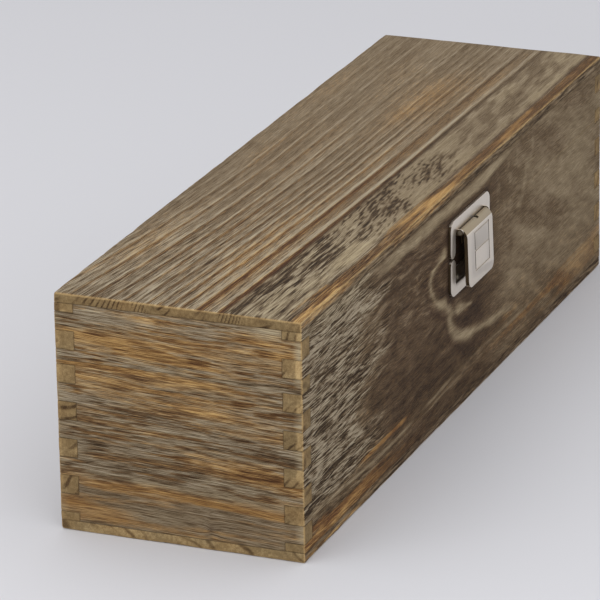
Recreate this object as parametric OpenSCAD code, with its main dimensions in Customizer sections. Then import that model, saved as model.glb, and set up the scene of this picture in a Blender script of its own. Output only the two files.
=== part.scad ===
// Wooden box for one bottle: a finger-jointed frame between two panels, glued up whole and then
// sawn into lid and body, with two butt hinges behind and a sheet-metal snap latch in front.
// Origin: middle of the bottom face. +X along the length, -Y towards the latch, +Z up.

/* [Box] */
// Outside length
box_l = 350; // [300:1:420]
// Outside width, latch face to hinge face
box_w = 100; // [90:1:130]
// Outside height, lid closed
box_h = 96; // [90:1:130]
// Thickness of the four frame boards
board_t = 8; // [7:0.5:10]
// Thickness of the top and bottom panels
panel_t = 4; // [3:0.5:6]
// Radius of the softened outer arrises
arris_r = 0.6; // [0.3:0.1:1.2]

/* [Finger joints] */
// Height of one finger
finger_h = 7.5; // [6:0.5:10]
// Saw cut lost when the lid was parted from the body
kerf = 1.5; // [1:0.1:2.5]
// Height of the lid, outside
lid_h = 26.75; // [24:0.25:32]

/* [Latch] */
// Latch offset from the middle of the front, along the length
latch_x = 5; // [-20:1:20]
// Width of the two latch plates
plate_w = 46; // [42:1:54]
// Height of the pair of latch plates
plates_h = 32; // [31:0.5:36]
// How far the gap between the plates lies below the seam of the box
latch_drop = 2.5; // [0:0.1:4]
// Gap between the two plates
plates_gap = 0.6; // [0.4:0.1:1.2]
// Thickness of the latch sheet
sheet_t = 0.5; // [0.4:0.05:0.6]
// How far the raised border of a plate stands off the wood
border_rise = 1; // [0.8:0.1:1.4]
// Width of the plate's side legs
leg_w = 5.5; // [4:0.25:6.5]
// Height of the top band of the lid plate
band_h = 5.5; // [4.5:0.1:6]
// Height of the bottom band of the body plate
foot_h = 4.5; // [4:0.1:5.5]
// Corner radius of the plates
plate_r = 4.25; // [1.5:0.25:5.25]

/* [Latch flap] */
// Width of the flap
flap_w = 29.5; // [26:0.5:31]
// Height of the flap
flap_h = 25.2; // [23:0.1:26.4]
// How far the front of the flap stands off the wood at its top
flap_rise = 5; // [4.5:0.1:6.5]
// Depth of the flap's turned-in edges, from its front face
rim_depth = 1.5; // [1.2:0.1:2]
// Lean of the closed flap, bottom edge outwards, in degrees
flap_lean = 1.9; // [0:0.1:3]
// Radius of the flap's bottom corners
flap_r = 3.5; // [1:0.25:4]
// Radius of the rolled barrel along the flap's top edge
barrel_r = 1.1; // [1:0.05:1.2]
// Radius of the flap's hinge pin
flap_pin_r = 0.55; // [0.45:0.05:0.6]
// Depth of the embossed lines on the flap
emboss_d = 0.2; // [0.1:0.05:0.3]

/* [Hinges] */
// Distance between the middles of the two hinges
hinge_span = 200; // [140:1:240]
// Length of a hinge
hinge_l = 30; // [26:1:40]
// Height of one leaf, from the pin's axis to its edge
leaf_h = 11; // [10:0.5:14]
// Thickness of a leaf
leaf_t = 0.9; // [0.7:0.1:1.2]
// Radius of the hinge knuckles
knuckle_r = 1.7; // [1.6:0.05:2]
// Radius of the hinge pin
hinge_pin_r = 0.8; // [0.7:0.05:0.9]
// Number of knuckles on a hinge, an odd number
knuckles = 5; // [3:2:7]
// Distance between the two screws of a leaf
screw_span = 18; // [14:0.5:20]

/* [Fasteners] */
// Radius of the hinge screws' heads
screw_head_r = 1.7; // [1.5:0.1:1.9]
// Radius of the hinge screws' shanks
screw_r = 0.8; // [0.6:0.05:1]
// Length of the hinge screws
screw_l = 6.5; // [5:0.5:6.5]
// Radius of the latch nails' heads
nail_head_r = 1.2; // [1:0.1:1.4]
// Radius of the latch nails' shanks
nail_r = 0.5; // [0.4:0.05:0.7]
// Length of the latch nails
nail_l = 6; // [4:0.5:6.5]

/* [Hidden] */

$fn = 48;

// Clearance all round a pin or a shank in its hole
pin_fit = 0.05;
// Gap between pieces that turn past each other
run_gap = 0.3;
// Overshoot of a cutting shape past the face that it cuts
cut = 1;

// Frame and seam
seam_z = box_h - lid_h;
frame_h = box_h - 2 * panel_t + kerf;
inner_w = box_w - 2 * board_t;
finger_count = floor(frame_h / finger_h);
finger_start = (frame_h - finger_count * finger_h) / 2;
front_y = -box_w / 2;
back_y = box_w / 2;

// Hinge: the pin's axis lies on the seam, off the back of the box
hinge_y = back_y + knuckle_r + run_gap;
knuckle_pitch = hinge_l / knuckles;
leaf_y = back_y - hinge_y;
leaf_clear = knuckle_r + run_gap;
// Height of a leaf's screws from the axis, by their distance from its edge
screw_edge = 3;
screw_z = leaf_h - screw_edge;
// Heads at the ends of the hinge pin
hinge_head_inset = 0.4;
hinge_head_r = knuckle_r - hinge_head_inset;
hinge_head_t = 0.4;
// Cross slots of the screws
slot_l = 2;
slot_w = 0.5;
slot_d = 0.45;

// Latch heights are measured up from the gap between the plates, depths off the wood
part_z = seam_z - latch_drop;
plate_top = plates_h / 2;
// Window inside the legs and the band of a plate
window_w = plate_w - 2 * leg_w;
window_r = 1.2;
band_low = plate_top - band_h;
foot_top = foot_h - plate_top;

// Barrel and pin at the flap's top edge, in front of the band's lower edge
barrel_gap = 0.15;
barrel_drop = 0.5;
barrel_y = band_low - barrel_drop;
barrel_s = border_rise + barrel_gap + barrel_r;
// Notch that parts the barrel into two rolls, right of the middle
notch_x = 2.4;
notch_w = 2.2;
// Top and bottom edges of the flap
flap_top = barrel_y + barrel_r;
flap_low = flap_top - flap_h;
// Sweep of the flap's roof: an arc that leaves the barrel's top at roof_s and ends in the face
bend_r = 4.5;
bend_s = flap_rise - bend_r;
bend_y = barrel_y - sqrt(pow(bend_r - barrel_r, 2) - pow(barrel_s - bend_s, 2));
roof_s = bend_s + bend_r * (barrel_s - bend_s) / (bend_r - barrel_r);
// Slits beside the roof
relief_drop = 3;
relief_h = 0.5;

// Ears of the lid plate, which carry the pin
ear_t = 0.6;
ear_margin = 0.2;
ear_r = barrel_r + ear_margin;
ear_x = flap_w / 2 + run_gap;
flap_head_r = 0.9;
flap_head_t = 0.3;

// Tongue of the lid plate, which ends above the seam of the box
tongue_w = 17;
seam_clear = 0.4;
tongue_low = latch_drop + seam_clear;
tongue_nail_x = 6;
tongue_nail_rise = 1.8;
tongue_nail_y = tongue_low + tongue_nail_rise;

// Web of the body plate, between its legs
web_h = 7;
web_top = foot_top + web_h;
web_nail_edge = 3.5;
web_nail_x = window_w / 2 - web_nail_edge;
web_nail_rise = 2.2;
web_nail_y = foot_top + web_nail_rise;

// Nail heads, as caps of a ball
nail_head_h = 0.6;
nail_dome_r = (nail_head_r * nail_head_r + nail_head_h * nail_head_h) / (2 * nail_head_h);

// Spring catch on the body plate: a strip that ends in a bead just above the flap's bottom edge
catch_w = 10;
catch_root_drop = 0.6;
catch_root_y = web_top - catch_root_drop;
bead_r = 0.8;
bead_reach = 0.5;
bead_gap = 0.25;
bead_s = flap_rise - rim_depth + bead_reach - bead_r;
bead_y = flap_low + sheet_t + bead_gap + bead_r;

// Embossed lines of the flap: a frame, set in from each edge, and a bar across it
emboss_w = 0.6;
emboss_left = 8.1;
emboss_right = 4.5;
emboss_low = 5.1;
emboss_high = 3.5;
emboss_bar = 8.4;

// ---------------------------------------------------------------- wood

// Rectangle w by h, centred, with rounded corners
module soft_rect(w, h, r) {
    square([w - 2 * r, h], center = true);
    square([w, h - 2 * r], center = true);
    for (x = [-1, 1])
        for (y = [-1, 1])
            translate([x * (w / 2 - r), y * (h / 2 - r)])
                circle(r = r);
}

// The closed box as one block with softened arrises
module outer_form() {
    intersection() {
        linear_extrude(box_h)
            soft_rect(box_l, box_w, arris_r);
        translate([-box_l / 2, 0, box_h / 2])
            rotate([90, 0, 90])
                linear_extrude(box_l)
                    soft_rect(box_w, box_h, arris_r);
        translate([0, box_w / 2, box_h / 2])
            rotate([90, 0, 0])
                linear_extrude(box_w)
                    soft_rect(box_l, box_h, arris_r);
    }
}

// Corner blocks that belong to the end boards, over the height of the unsawn frame
module end_fingers(x_side, y_side) {
    for (i = [0 : 2 : finger_count - 1])
        translate([
            x_side > 0 ? box_l / 2 - board_t : -box_l / 2,
            y_side > 0 ? back_y - board_t : front_y,
            panel_t + finger_start + i * finger_h
        ])
            cube([board_t, board_t, finger_h]);
}

// Long board of the unsawn frame
module long_blank(y_side) {
    difference() {
        translate([-box_l / 2, y_side > 0 ? back_y - board_t : front_y, panel_t])
            cube([box_l, board_t, frame_h]);
        end_fingers(-1, y_side);
        end_fingers(1, y_side);
    }
}

// End board of the unsawn frame
module end_blank(x_side) {
    translate([x_side > 0 ? box_l / 2 - board_t : -box_l / 2, -inner_w / 2, panel_t])
        cube([board_t, inner_w, frame_h]);
    end_fingers(x_side, -1);
    end_fingers(x_side, 1);
}

// What the saw leaves below its cut
module body_part() {
    intersection() {
        children();
        outer_form();
        translate([-box_l, -box_w, 0])
            cube([2 * box_l, 2 * box_w, seam_z]);
    }
}

// What the saw leaves above its cut, set down on the body
module lid_part() {
    intersection() {
        translate([0, 0, -kerf])
            children();
        outer_form();
        translate([-box_l, -box_w, seam_z])
            cube([2 * box_l, 2 * box_w, box_h]);
    }
}

module body_front_board() {
    color("#6b5340")
        difference() {
            body_part()
                long_blank(-1);
            latch_holes(-1);
        }
}

module body_back_board() {
    color("#6b5340")
        difference() {
            body_part()
                long_blank(1);
            hinge_holes(-1);
        }
}

module body_left_end_board() {
    color("#8a7150")
        body_part()
            end_blank(-1);
}

module body_right_end_board() {
    color("#8a7150")
        body_part()
            end_blank(1);
}

module lid_front_board() {
    color("#6b5340")
        difference() {
            lid_part()
                long_blank(-1);
            latch_holes(1);
        }
}

module lid_back_board() {
    color("#6b5340")
        difference() {
            lid_part()
                long_blank(1);
            hinge_holes(1);
        }
}

module lid_left_end_board() {
    color("#8a7150")
        lid_part()
            end_blank(-1);
}

module lid_right_end_board() {
    color("#8a7150")
        lid_part()
            end_blank(1);
}

module bottom_panel() {
    color("#7a6450")
        intersection() {
            outer_form();
            translate([-box_l, -box_w, 0])
                cube([2 * box_l, 2 * box_w, panel_t]);
        }
}

module top_panel() {
    color("#7a6450")
        intersection() {
            outer_form();
            translate([-box_l, -box_w, box_h - panel_t])
                cube([2 * box_l, 2 * box_w, panel_t]);
        }
}

// ---------------------------------------------------------------- hinges

// Places a child on the pin's axis of the hinge on one side
module at_hinge(side) {
    translate([side * hinge_span / 2, hinge_y, seam_z])
        children();
}

// Places a child at each screw of a leaf, pointing into the wood; up is 1 for the lid leaf
module at_leaf_screws(up) {
    for (side = [-1, 1])
        translate([side * screw_span / 2, leaf_y + leaf_t, up * screw_z])
            rotate([90, 0, 0])
                children();
}

// Countersunk screw from its head's face down, with extra room all round
module screw_form(extra) {
    cylinder(r1 = screw_head_r + extra, r2 = screw_r + extra, h = leaf_t);
    cylinder(r = screw_r + extra, h = screw_l + extra);
}

module hinge_holes(up) {
    for (side = [-1, 1])
        at_hinge(side)
            at_leaf_screws(up)
                cylinder(r = screw_r + pin_fit, h = screw_l + pin_fit);
}

// Where knuckle number i starts along the hinge
function knuckle_x(i) = -hinge_l / 2 + i * knuckle_pitch + run_gap / 2;

// One leaf: its plate, and every second knuckle from number first
module leaf(up, first) {
    knuckle_l = knuckle_pitch - run_gap;
    color("silver")
        difference() {
            union() {
                translate([-hinge_l / 2, leaf_y, up > 0 ? leaf_clear : -leaf_h])
                    cube([hinge_l, leaf_t, leaf_h - leaf_clear]);
                for (i = [first : 2 : knuckles - 1])
                    translate([knuckle_x(i), 0, 0]) {
                        rotate([0, 90, 0])
                            cylinder(r = knuckle_r, h = knuckle_l);
                        translate([0, leaf_y, up > 0 ? 0 : -leaf_clear])
                            cube([knuckle_l, leaf_t, leaf_clear]);
                    }
            }
            translate([-hinge_l, 0, 0])
                rotate([0, 90, 0])
                    cylinder(r = hinge_pin_r + pin_fit, h = 2 * hinge_l);
            at_leaf_screws(up)
                screw_form(pin_fit);
        }
}

module hinge_pin() {
    color("lightgray")
        rotate([0, 90, 0]) {
            cylinder(r = hinge_pin_r, h = hinge_l, center = true);
            for (side = [-1, 1])
                translate([0, 0, side * (hinge_l + hinge_head_t) / 2])
                    cylinder(r = hinge_head_r, h = hinge_head_t, center = true);
        }
}

module hinge_screws(up) {
    color("gainsboro")
        for (side = [-1, 1])
            at_hinge(side)
                at_leaf_screws(up)
                    difference() {
                        screw_form(0);
                        for (turn = [45, 135])
                            rotate([0, 0, turn])
                                translate([-slot_l / 2, -slot_w / 2, -cut])
                                    cube([slot_l, slot_w, cut + slot_d]);
                    }
}

module hinge_left_body_leaf() {
    at_hinge(-1)
        leaf(-1, 0);
}

module hinge_left_lid_leaf() {
    at_hinge(-1)
        leaf(1, 1);
}

module hinge_left_pin() {
    at_hinge(-1)
        hinge_pin();
}

module hinge_right_body_leaf() {
    at_hinge(1)
        leaf(-1, 0);
}

module hinge_right_lid_leaf() {
    at_hinge(1)
        leaf(1, 1);
}

module hinge_right_pin() {
    at_hinge(1)
        hinge_pin();
}

module hinge_body_screws() {
    hinge_screws(-1);
}

module hinge_lid_screws() {
    hinge_screws(1);
}

// ---------------------------------------------------------------- latch

// Latch frame: x along the box, y up from the gap between the plates, z off the wood
module on_front() {
    translate([latch_x, front_y, part_z])
        rotate([90, 0, 0])
            children();
}

// Extrudes a section drawn as depth off the wood by height, w wide along the box
module section(w) {
    rotate([0, -90, 0])
        linear_extrude(w, center = true)
            children();
}

// Bar along the box, at a height and a depth
module bar(y, s, r, w) {
    translate([0, y, s])
        rotate([0, 90, 0])
            cylinder(r = r, h = w, center = true);
}

// Upside-down U outline of a plate whose closed end is band high, drawn in by inset all round
module u_outline(inset, band) {
    half = plate_w / 2 - inset;
    r = plate_r - inset;
    leg_r = leg_w / 2 - inset;
    leg_end = (plates_gap + leg_w) / 2;
    window = window_w / 2 + inset;
    corner_r = window_r + inset;
    difference() {
        union() {
            translate([-half, leg_end])
                square([2 * half, plate_top - plate_r - leg_end]);
            translate([r - half, leg_end])
                square([2 * (half - r), plate_top - inset - leg_end]);
            for (side = [-1, 1])
                translate([side * (half - r), plate_top - plate_r])
                    circle(r = r);
        }
        translate([-window, leg_end - cut])
            square([2 * window, plate_top - band - window_r - leg_end + cut]);
        translate([corner_r - window, leg_end - cut])
            square([2 * (window - corner_r), plate_top - band + inset - leg_end + cut]);
        for (side = [-1, 1])
            translate([side * (window - corner_r), plate_top - band - window_r])
                circle(r = corner_r);
    }
    for (side = [-1, 1])
        translate([side * (plate_w - leg_w) / 2, leg_end])
            circle(r = leg_r);
}

// Raised border of a plate: a pressed channel, open towards the wood
module border(band) {
    difference() {
        linear_extrude(border_rise)
            u_outline(0, band);
        translate([0, 0, -cut])
            linear_extrude(border_rise - sheet_t + cut)
                u_outline(sheet_t, band);
    }
}

// Places a child at the two nails of a plate
module at_nails(x, y) {
    for (side = [-1, 1])
        translate([side * x, y, 0])
            children();
}

module ear() {
    section(ear_t) {
        translate([barrel_s, barrel_y])
            circle(r = ear_r);
        translate([0, barrel_y - ear_r])
            square([barrel_s, 2 * ear_r]);
    }
}

module latch_lid_plate() {
    color("silver")
        on_front()
            difference() {
                union() {
                    border(band_h);
                    translate([-tongue_w / 2, tongue_low, 0])
                        cube([tongue_w, band_low + sheet_t - tongue_low, sheet_t]);
                    for (side = [-1, 1])
                        translate([side * (ear_x + ear_t / 2), 0, 0])
                            ear();
                }
                bar(barrel_y, barrel_s, flap_pin_r + pin_fit, plate_w);
                at_nails(tongue_nail_x, tongue_nail_y)
                    translate([0, 0, -cut])
                        cylinder(r = nail_r + pin_fit, h = sheet_t + 2 * cut);
            }
}

// Spring strip from the web out to the bead that the flap snaps past
module catch_strip() {
    run = bead_s - sheet_t / 2;
    drop = catch_root_y - bead_y;
    section(catch_w) {
        translate([bead_s, bead_y])
            circle(r = bead_r);
        translate([sheet_t / 2, catch_root_y])
            rotate([0, 0, atan2(-drop, run)])
                translate([-sheet_t / 2, -sheet_t / 2])
                    square([norm([run, drop]) + sheet_t / 2, sheet_t]);
    }
}

module latch_body_plate() {
    color("silver")
        on_front()
            difference() {
                union() {
                    mirror([0, 1, 0])
                        border(foot_h);
                    translate([-window_w / 2 - sheet_t, foot_top - sheet_t, 0])
                        cube([window_w + 2 * sheet_t, web_top - foot_top + sheet_t, sheet_t]);
                    catch_strip();
                }
                at_nails(web_nail_x, web_nail_y)
                    translate([0, 0, -cut])
                        cylinder(r = nail_r + pin_fit, h = sheet_t + 2 * cut);
                translate([-plate_w, -plates_h, -2 * cut])
                    cube([2 * plate_w, 2 * plates_h, 2 * cut]);
            }
}

// Front outline of the flap, drawn in by inset at its sides and below
module flap_outline(inset) {
    half = flap_w / 2 - inset;
    r = flap_r - inset;
    translate([-half, flap_low + flap_r])
        square([2 * half, flap_h - flap_r]);
    translate([r - half, flap_low + inset])
        square([2 * (half - r), flap_h - inset]);
    for (side = [-1, 1])
        translate([side * (half - r), flap_low + flap_r])
            circle(r = r);
}

// Section through the pressed flap, drawn in by inset: straight below, swept back above
module flap_section(inset) {
    translate([0, flap_low - cut])
        square([flap_rise - inset, bend_y - flap_low + cut]);
    intersection() {
        translate([bend_s, bend_y])
            circle(r = bend_r - inset);
        translate([bend_s, bend_y - sheet_t])
            square([bend_r, bend_r + sheet_t]);
    }
}

// Section through the roof alone, from the barrel to the face
module roof_section() {
    intersection() {
        difference() {
            flap_section(0);
            flap_section(sheet_t);
        }
        translate([roof_s, bend_y])
            square([flap_rise - roof_s, flap_top - bend_y]);
    }
}

// Embossed frame on the front of the flap, and the bar across it
module emboss_lines() {
    w = flap_w - emboss_left - emboss_right;
    h = flap_h - emboss_low - emboss_high;
    translate([emboss_left - flap_w / 2, flap_low + emboss_low]) {
        difference() {
            square([w, h]);
            translate([emboss_w, emboss_w])
                square([w - 2 * emboss_w, h - 2 * emboss_w]);
        }
        translate([0, h - emboss_bar])
            square([w, emboss_w]);
    }
}

// The flap, standing straight down from its barrel
module flap_form() {
    difference() {
        union() {
            intersection() {
                translate([0, 0, flap_rise - rim_depth])
                    linear_extrude(rim_depth)
                        flap_outline(0);
                section(2 * flap_w)
                    flap_section(0);
            }
            section(flap_w)
                roof_section();
        }
        intersection() {
            translate([0, 0, flap_rise - rim_depth - cut])
                linear_extrude(rim_depth + cut)
                    flap_outline(sheet_t);
            section(2 * flap_w)
                flap_section(sheet_t);
        }
        for (side = [-1, 1])
            translate([side * flap_w / 2 - sheet_t - cut, flap_top - relief_drop, 0])
                cube([2 * (sheet_t + cut), relief_h, flap_rise - sheet_t]);
        translate([0, 0, flap_rise - emboss_d])
            linear_extrude(emboss_d + cut)
                emboss_lines();
    }
}

module latch_flap() {
    color("gainsboro")
        on_front()
            translate([0, barrel_y, barrel_s])
                rotate([-flap_lean, 0, 0])
                    translate([0, -barrel_y, -barrel_s])
                        difference() {
                            union() {
                                flap_form();
                                bar(barrel_y, barrel_s, barrel_r, flap_w);
                            }
                            bar(barrel_y, barrel_s, flap_pin_r + pin_fit, plate_w);
                            translate([notch_x - notch_w / 2, barrel_y - 2 * barrel_r, 0])
                                cube([notch_w, 4 * barrel_r, barrel_s + barrel_r]);
                        }
}

module latch_flap_pin() {
    pin_l = 2 * (ear_x + ear_t);
    color("lightgray")
        on_front() {
            bar(barrel_y, barrel_s, flap_pin_r, pin_l);
            for (side = [-1, 1])
                translate([side * (pin_l + flap_head_t) / 2, 0, 0])
                    bar(barrel_y, barrel_s, flap_head_r, flap_head_t);
        }
}

// Round-headed nail driven in from the latch sheet's face
module nail() {
    translate([0, 0, sheet_t]) {
        intersection() {
            translate([0, 0, nail_head_h - nail_dome_r])
                sphere(r = nail_dome_r);
            cylinder(r = nail_head_r, h = nail_head_h);
        }
        translate([0, 0, -nail_l])
            cylinder(r = nail_r, h = nail_l);
    }
}

// Nail holes in the front board; up is 1 for the lid plate's
module latch_holes(up) {
    on_front()
        at_nails(up > 0 ? tongue_nail_x : web_nail_x, up > 0 ? tongue_nail_y : web_nail_y)
            translate([0, 0, sheet_t - nail_l - pin_fit])
                cylinder(r = nail_r + pin_fit, h = nail_l + cut);
}

module latch_lid_nails() {
    color("lightgray")
        on_front()
            at_nails(tongue_nail_x, tongue_nail_y)
                nail();
}

module latch_body_nails() {
    color("lightgray")
        on_front()
            at_nails(web_nail_x, web_nail_y)
                nail();
}

body_front_board();
body_back_board();
body_left_end_board();
body_right_end_board();
bottom_panel();
lid_front_board();
lid_back_board();
lid_left_end_board();
lid_right_end_board();
top_panel();
hinge_left_body_leaf();
hinge_left_lid_leaf();
hinge_left_pin();
hinge_right_body_leaf();
hinge_right_lid_leaf();
hinge_right_pin();
hinge_body_screws();
hinge_lid_screws();
latch_lid_plate();
latch_body_plate();
latch_flap();
latch_flap_pin();
latch_lid_nails();
latch_body_nails();
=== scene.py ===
"""Looks of the wooden wine box: brushed, stained boards, a pressed nickel latch and two hinges."""

import math

import bmesh
import bpy
import numpy as np
from mathutils import Matrix, Vector


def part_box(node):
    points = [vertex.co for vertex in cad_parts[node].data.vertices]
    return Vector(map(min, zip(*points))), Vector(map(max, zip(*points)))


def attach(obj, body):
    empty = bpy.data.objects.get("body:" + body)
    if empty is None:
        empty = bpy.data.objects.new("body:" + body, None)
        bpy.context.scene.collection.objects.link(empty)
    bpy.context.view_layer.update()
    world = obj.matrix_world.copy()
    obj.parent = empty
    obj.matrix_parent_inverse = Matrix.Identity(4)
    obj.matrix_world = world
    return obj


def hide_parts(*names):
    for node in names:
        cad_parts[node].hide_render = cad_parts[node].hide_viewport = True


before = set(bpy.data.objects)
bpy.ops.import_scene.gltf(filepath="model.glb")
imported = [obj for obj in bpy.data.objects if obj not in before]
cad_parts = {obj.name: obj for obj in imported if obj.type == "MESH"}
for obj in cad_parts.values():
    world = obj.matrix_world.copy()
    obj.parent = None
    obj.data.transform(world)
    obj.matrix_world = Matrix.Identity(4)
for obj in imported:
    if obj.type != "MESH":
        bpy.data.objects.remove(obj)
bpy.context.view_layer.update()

MM = 0.001

# ---------------------------------------------------------------- sizes, from the frame, in mm


def box_mm(node):
    """Lowest and highest corner of a CAD node."""
    return [np.round(np.array(corner) / MM, 3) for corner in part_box(node)]


LOW, bottom_high = box_mm("bottom_panel")
top_low, HIGH = box_mm("top_panel")
front_low, front_high = box_mm("body_front_board")
PANEL = bottom_high[2] - LOW[2]
WALL = front_high[1] - front_low[1]
SEAM = front_high[2]

# Latch plates on the front: their middle, half their width, and their top and bottom from the box's top
plate_low, plate_high = box_mm("latch_lid_plate")
foot_low = box_mm("latch_body_plate")[0]
LATCH_S = (plate_low[0] + plate_high[0]) / 2 - LOW[0]
LATCH_HALF = (plate_high[0] - plate_low[0]) / 2
LATCH_TOP, LATCH_FOOT = HIGH[2] - plate_high[2], HIGH[2] - foot_low[2]

# Finger joints of the frame, which was glued up whole and then sawn
FINGER = 7.5
KERF = 1.5
frame_h = HIGH[2] - 2 * PANEL + KERF
finger_count = int(frame_h // FINGER)
finger_start = PANEL + (frame_h - finger_count * FINGER) / 2
finger_edges = finger_start + FINGER * np.arange(finger_count + 1)

# Spacing of the mesh along the grain and across it
ALONG = 2.2
ACROSS = 0.4
# Extra lines beside the ends of a board, for its rounded arrises
NEAR_END = (0.3, 0.7, 1.3)
# Deepest brushed groove, and the fine line where two boards meet
GROOVE = 0.32
JOINT_LINE = 0.12
# Radius of the worn arrises, least and most
ARRIS = 0.7
ARRIS_WORN = 1.7
# How worn the sawn edges at the seam are, from 0 to 1
SEAM_WORN = 0.15
# A face's field is left out where it has less than this share in a rounded arris
LEAST_SHARE = 1e-4
# Material slots of a board's mesh: brushed faces, end grain, and the planed inside
SLOT_BRUSHED, SLOT_CUT, SLOT_PLANED = 0, 1, 2

# ---------------------------------------------------------------- grain, as functions of place


def hashed(i, j, seed):
    """Random numbers from 0 to 1 at whole-numbered places, by an integer hash of 32 bits."""
    h = (i.astype(np.int64) * 374761393 + j.astype(np.int64) * 668265263 + seed * 1274126177) & 0xFFFFFFFF
    h = ((h ^ (h >> 13)) * 1103515245) & 0xFFFFFFFF
    h = ((h ^ (h >> 16)) * 1540483477) & 0xFFFFFFFF
    return ((h ^ (h >> 15)) & 0xFFFFFF) / 0xFFFFFF


def noise(x, y, seed):
    """Smooth random field from 0 to 1, with features about one unit wide."""
    i, j = np.floor(x), np.floor(y)
    u, v = x - i, y - j
    u, v = u * u * (3 - 2 * u), v * v * (3 - 2 * v)
    low = hashed(i, j, seed) * (1 - u) + hashed(i + 1, j, seed) * u
    high = hashed(i, j + 1, seed) * (1 - u) + hashed(i + 1, j + 1, seed) * u
    return low * (1 - v) + high * v


def sway(x, y, seed):
    """The same field, from -0.5 to 0.5."""
    return noise(x, y, seed) - 0.5


def smooth(a, b, x):
    """0 below a, 1 above b, eased between them."""
    t = np.clip((x - a) / (b - a), 0, 1)
    return t * t * (3 - 2 * t)


def bump(x, middle, width):
    """1 at the middle, and almost 0 at twice the width from it."""
    return np.exp(-(((x - middle) / width) ** 2))


def inside(x, low, high, ease):
    """1 between low and high, easing to 0 outside."""
    return smooth(low - ease, low + ease, x) * (1 - smooth(high - ease, high + ease, x))


def away_from(s, t, points):
    """Distance from a line through points."""
    best = np.full(s.shape, np.inf)
    for (s0, t0), (s1, t1) in zip(points, points[1:]):
        ds, dt = s1 - s0, t1 - t0
        k = np.clip(((s - s0) * ds + (t - t0) * dt) / (ds * ds + dt * dt), 0, 1)
        best = np.minimum(best, np.hypot(s - s0 - k * ds, t - t0 - k * dt))
    return best


def fibres(s, t, seed, width=1.1, length=14):
    """Brushed fibres: 1 on a ridge, 0 in a groove."""
    t = t + 1.6 * sway(s / 26, t / 9, seed + 2)
    coarse = noise(s / length, t / width, seed)
    fine = noise(s / (0.45 * length), t / (0.6 * width), seed + 1)
    return smooth(0.22, 0.74, 0.58 * coarse + 0.42 * fine)


# A face's field takes places on it in mm: s or u from its left edge and t from its upper edge, or from
# the back edge on the top and from the front edge on the bottom. It gives the fibres' own coordinates,
# how deep they are brushed, and ridge, pale, warm and dark, all from 0 to 1. The weights of what adds up
# to these and the noises' seeds stand where they are used.

# Pale figure of the front: a pointed arch that opens towards the far end, its spur and a faint stroke
ARCH = [
    (152.3, 22.8), (145.3, 25.4), (138.3, 28.0), (135.6, 31.5), (137.4, 35.9), (140.9, 40.3), (147.0, 44.1),
    (154.0, 46.9), (157.6, 50.8), (158.4, 55.1), (161.0, 59.5), (165.4, 62.7), (172.4, 65.8), (182.0, 68.3),
    (194.3, 70.4), (210.0, 72.1), (224.0, 73.0), (232.8, 74.9), (245.0, 79.1),
]
SPUR = [(159, 52.2), (171, 53.6), (184, 56)]
STROKE = [(129, 36.5), (134, 39), (142, 42.5)]
# The arch is widest here, and fades out over the second stretch
ARCH_WIDEST, ARCH_FADES = 166, (200, 244)
# The coarse brushing of the near end stops somewhere in this stretch
BRUSHED_END = 45, 98
# Over this stretch the front turns from dark and fibrous to mottled
MOTTLED_FROM = 185, 240
# Beyond this length the mottled pattern slopes down to the right, fully so after the length of the turn
TILT_FROM, TURN, TILT = 186, 44, 0.36
# Straighter grain runs along the foot of the front, below these heights
WAVES_END, LEVEL_FROM = (74, 80), (72, 82)
# Heights of the pale strip under the top panel, of two pale lines above the foot, and of the broad band
# along the foot, which is warm at the near end and dark beyond it
STRIP_TOP, STRIP_FOOT, STRIP_THINNER = 3.2, 8.8, 3.0
LINE_AT, LINE_BELOW = 80.2, 83.0
FOOT_BAND = 84.2, 96.0
# Orange streaks of the front, and the golden streak at its near lower corner
ORANGE_AT, GLOW_AT = 77.6, 90.5
# Grime and a painted contact shadow reach this far round the latch
GRIME_AND_SHADOW = 1.9


def front_pattern(s, t):
    """The fibres' own height on the front, how mottled it is, and its soft, broad and mottled noise."""
    wave = 2.6 * sway(s / 30, t / 11, 31) + 1.4 * sway(s / 11, t / 5, 32)
    w = t + 5 * sway(s / 90, t / 40, 21) + wave * (1 - smooth(*WAVES_END, t))
    far = smooth(*MOTTLED_FROM, s)
    beyond = np.maximum(s - TILT_FROM, 0)
    slanted = t - TILT * np.where(beyond < TURN, beyond ** 2 / (2 * TURN), beyond - TURN / 2)
    tilted = far * (1 - smooth(*LEVEL_FROM, t))
    soft = noise(s / 26, w / 1.8, 24) * (1 - tilted) + noise(s / 13, slanted / 4.0, 36) * tilted
    broad = noise(s / 55, w / 6, 25) * (1 - far) + noise(s / 32, slanted / 11, 37) * far
    mottled = noise(s / 8, w / 2.0, 26) * (1 - far) + noise(s / 5.5, slanted / 1.9, 38) * far
    return w, far, soft, broad, mottled


def brushed_part(s, t, w):
    """1 where the front is coarsely brushed, at its near end."""
    ragged = 46 * sway(s / 21, w / 3.2, 22) + 18 * sway(s / 45, w / 14, 34)
    brushed = 1 - smooth(*BRUSHED_END, s + ragged + 0.12 * (t - 30))
    return brushed * (1 - 0.75 * smooth(76, 80, t))


def pale_figure(s, t):
    """Distance from the arch, and how pale the arch, its spur and its stroke are."""
    wander = 1.6 * sway(s / 9, t / 5, 27)
    reach = away_from(s, t, ARCH)
    thick = 1.5 + 1.8 * bump(s, ARCH_WIDEST, 22)
    fade = 1 - 0.8 * smooth(*ARCH_FADES, s)
    arch = bump(reach + wander, 0, thick) * (0.62 + 0.5 * noise(s / 9, t / 4, 29)) * fade
    spur = bump(away_from(s, t, SPUR) + wander, 0, 2.6 - 0.075 * (s - SPUR[0][0]))
    stroke = bump(away_from(s, t, STROKE) + wander, 0, 1.2)
    return reach, np.maximum(np.maximum(arch, 0.95 * spur), 0.4 * stroke)


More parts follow.
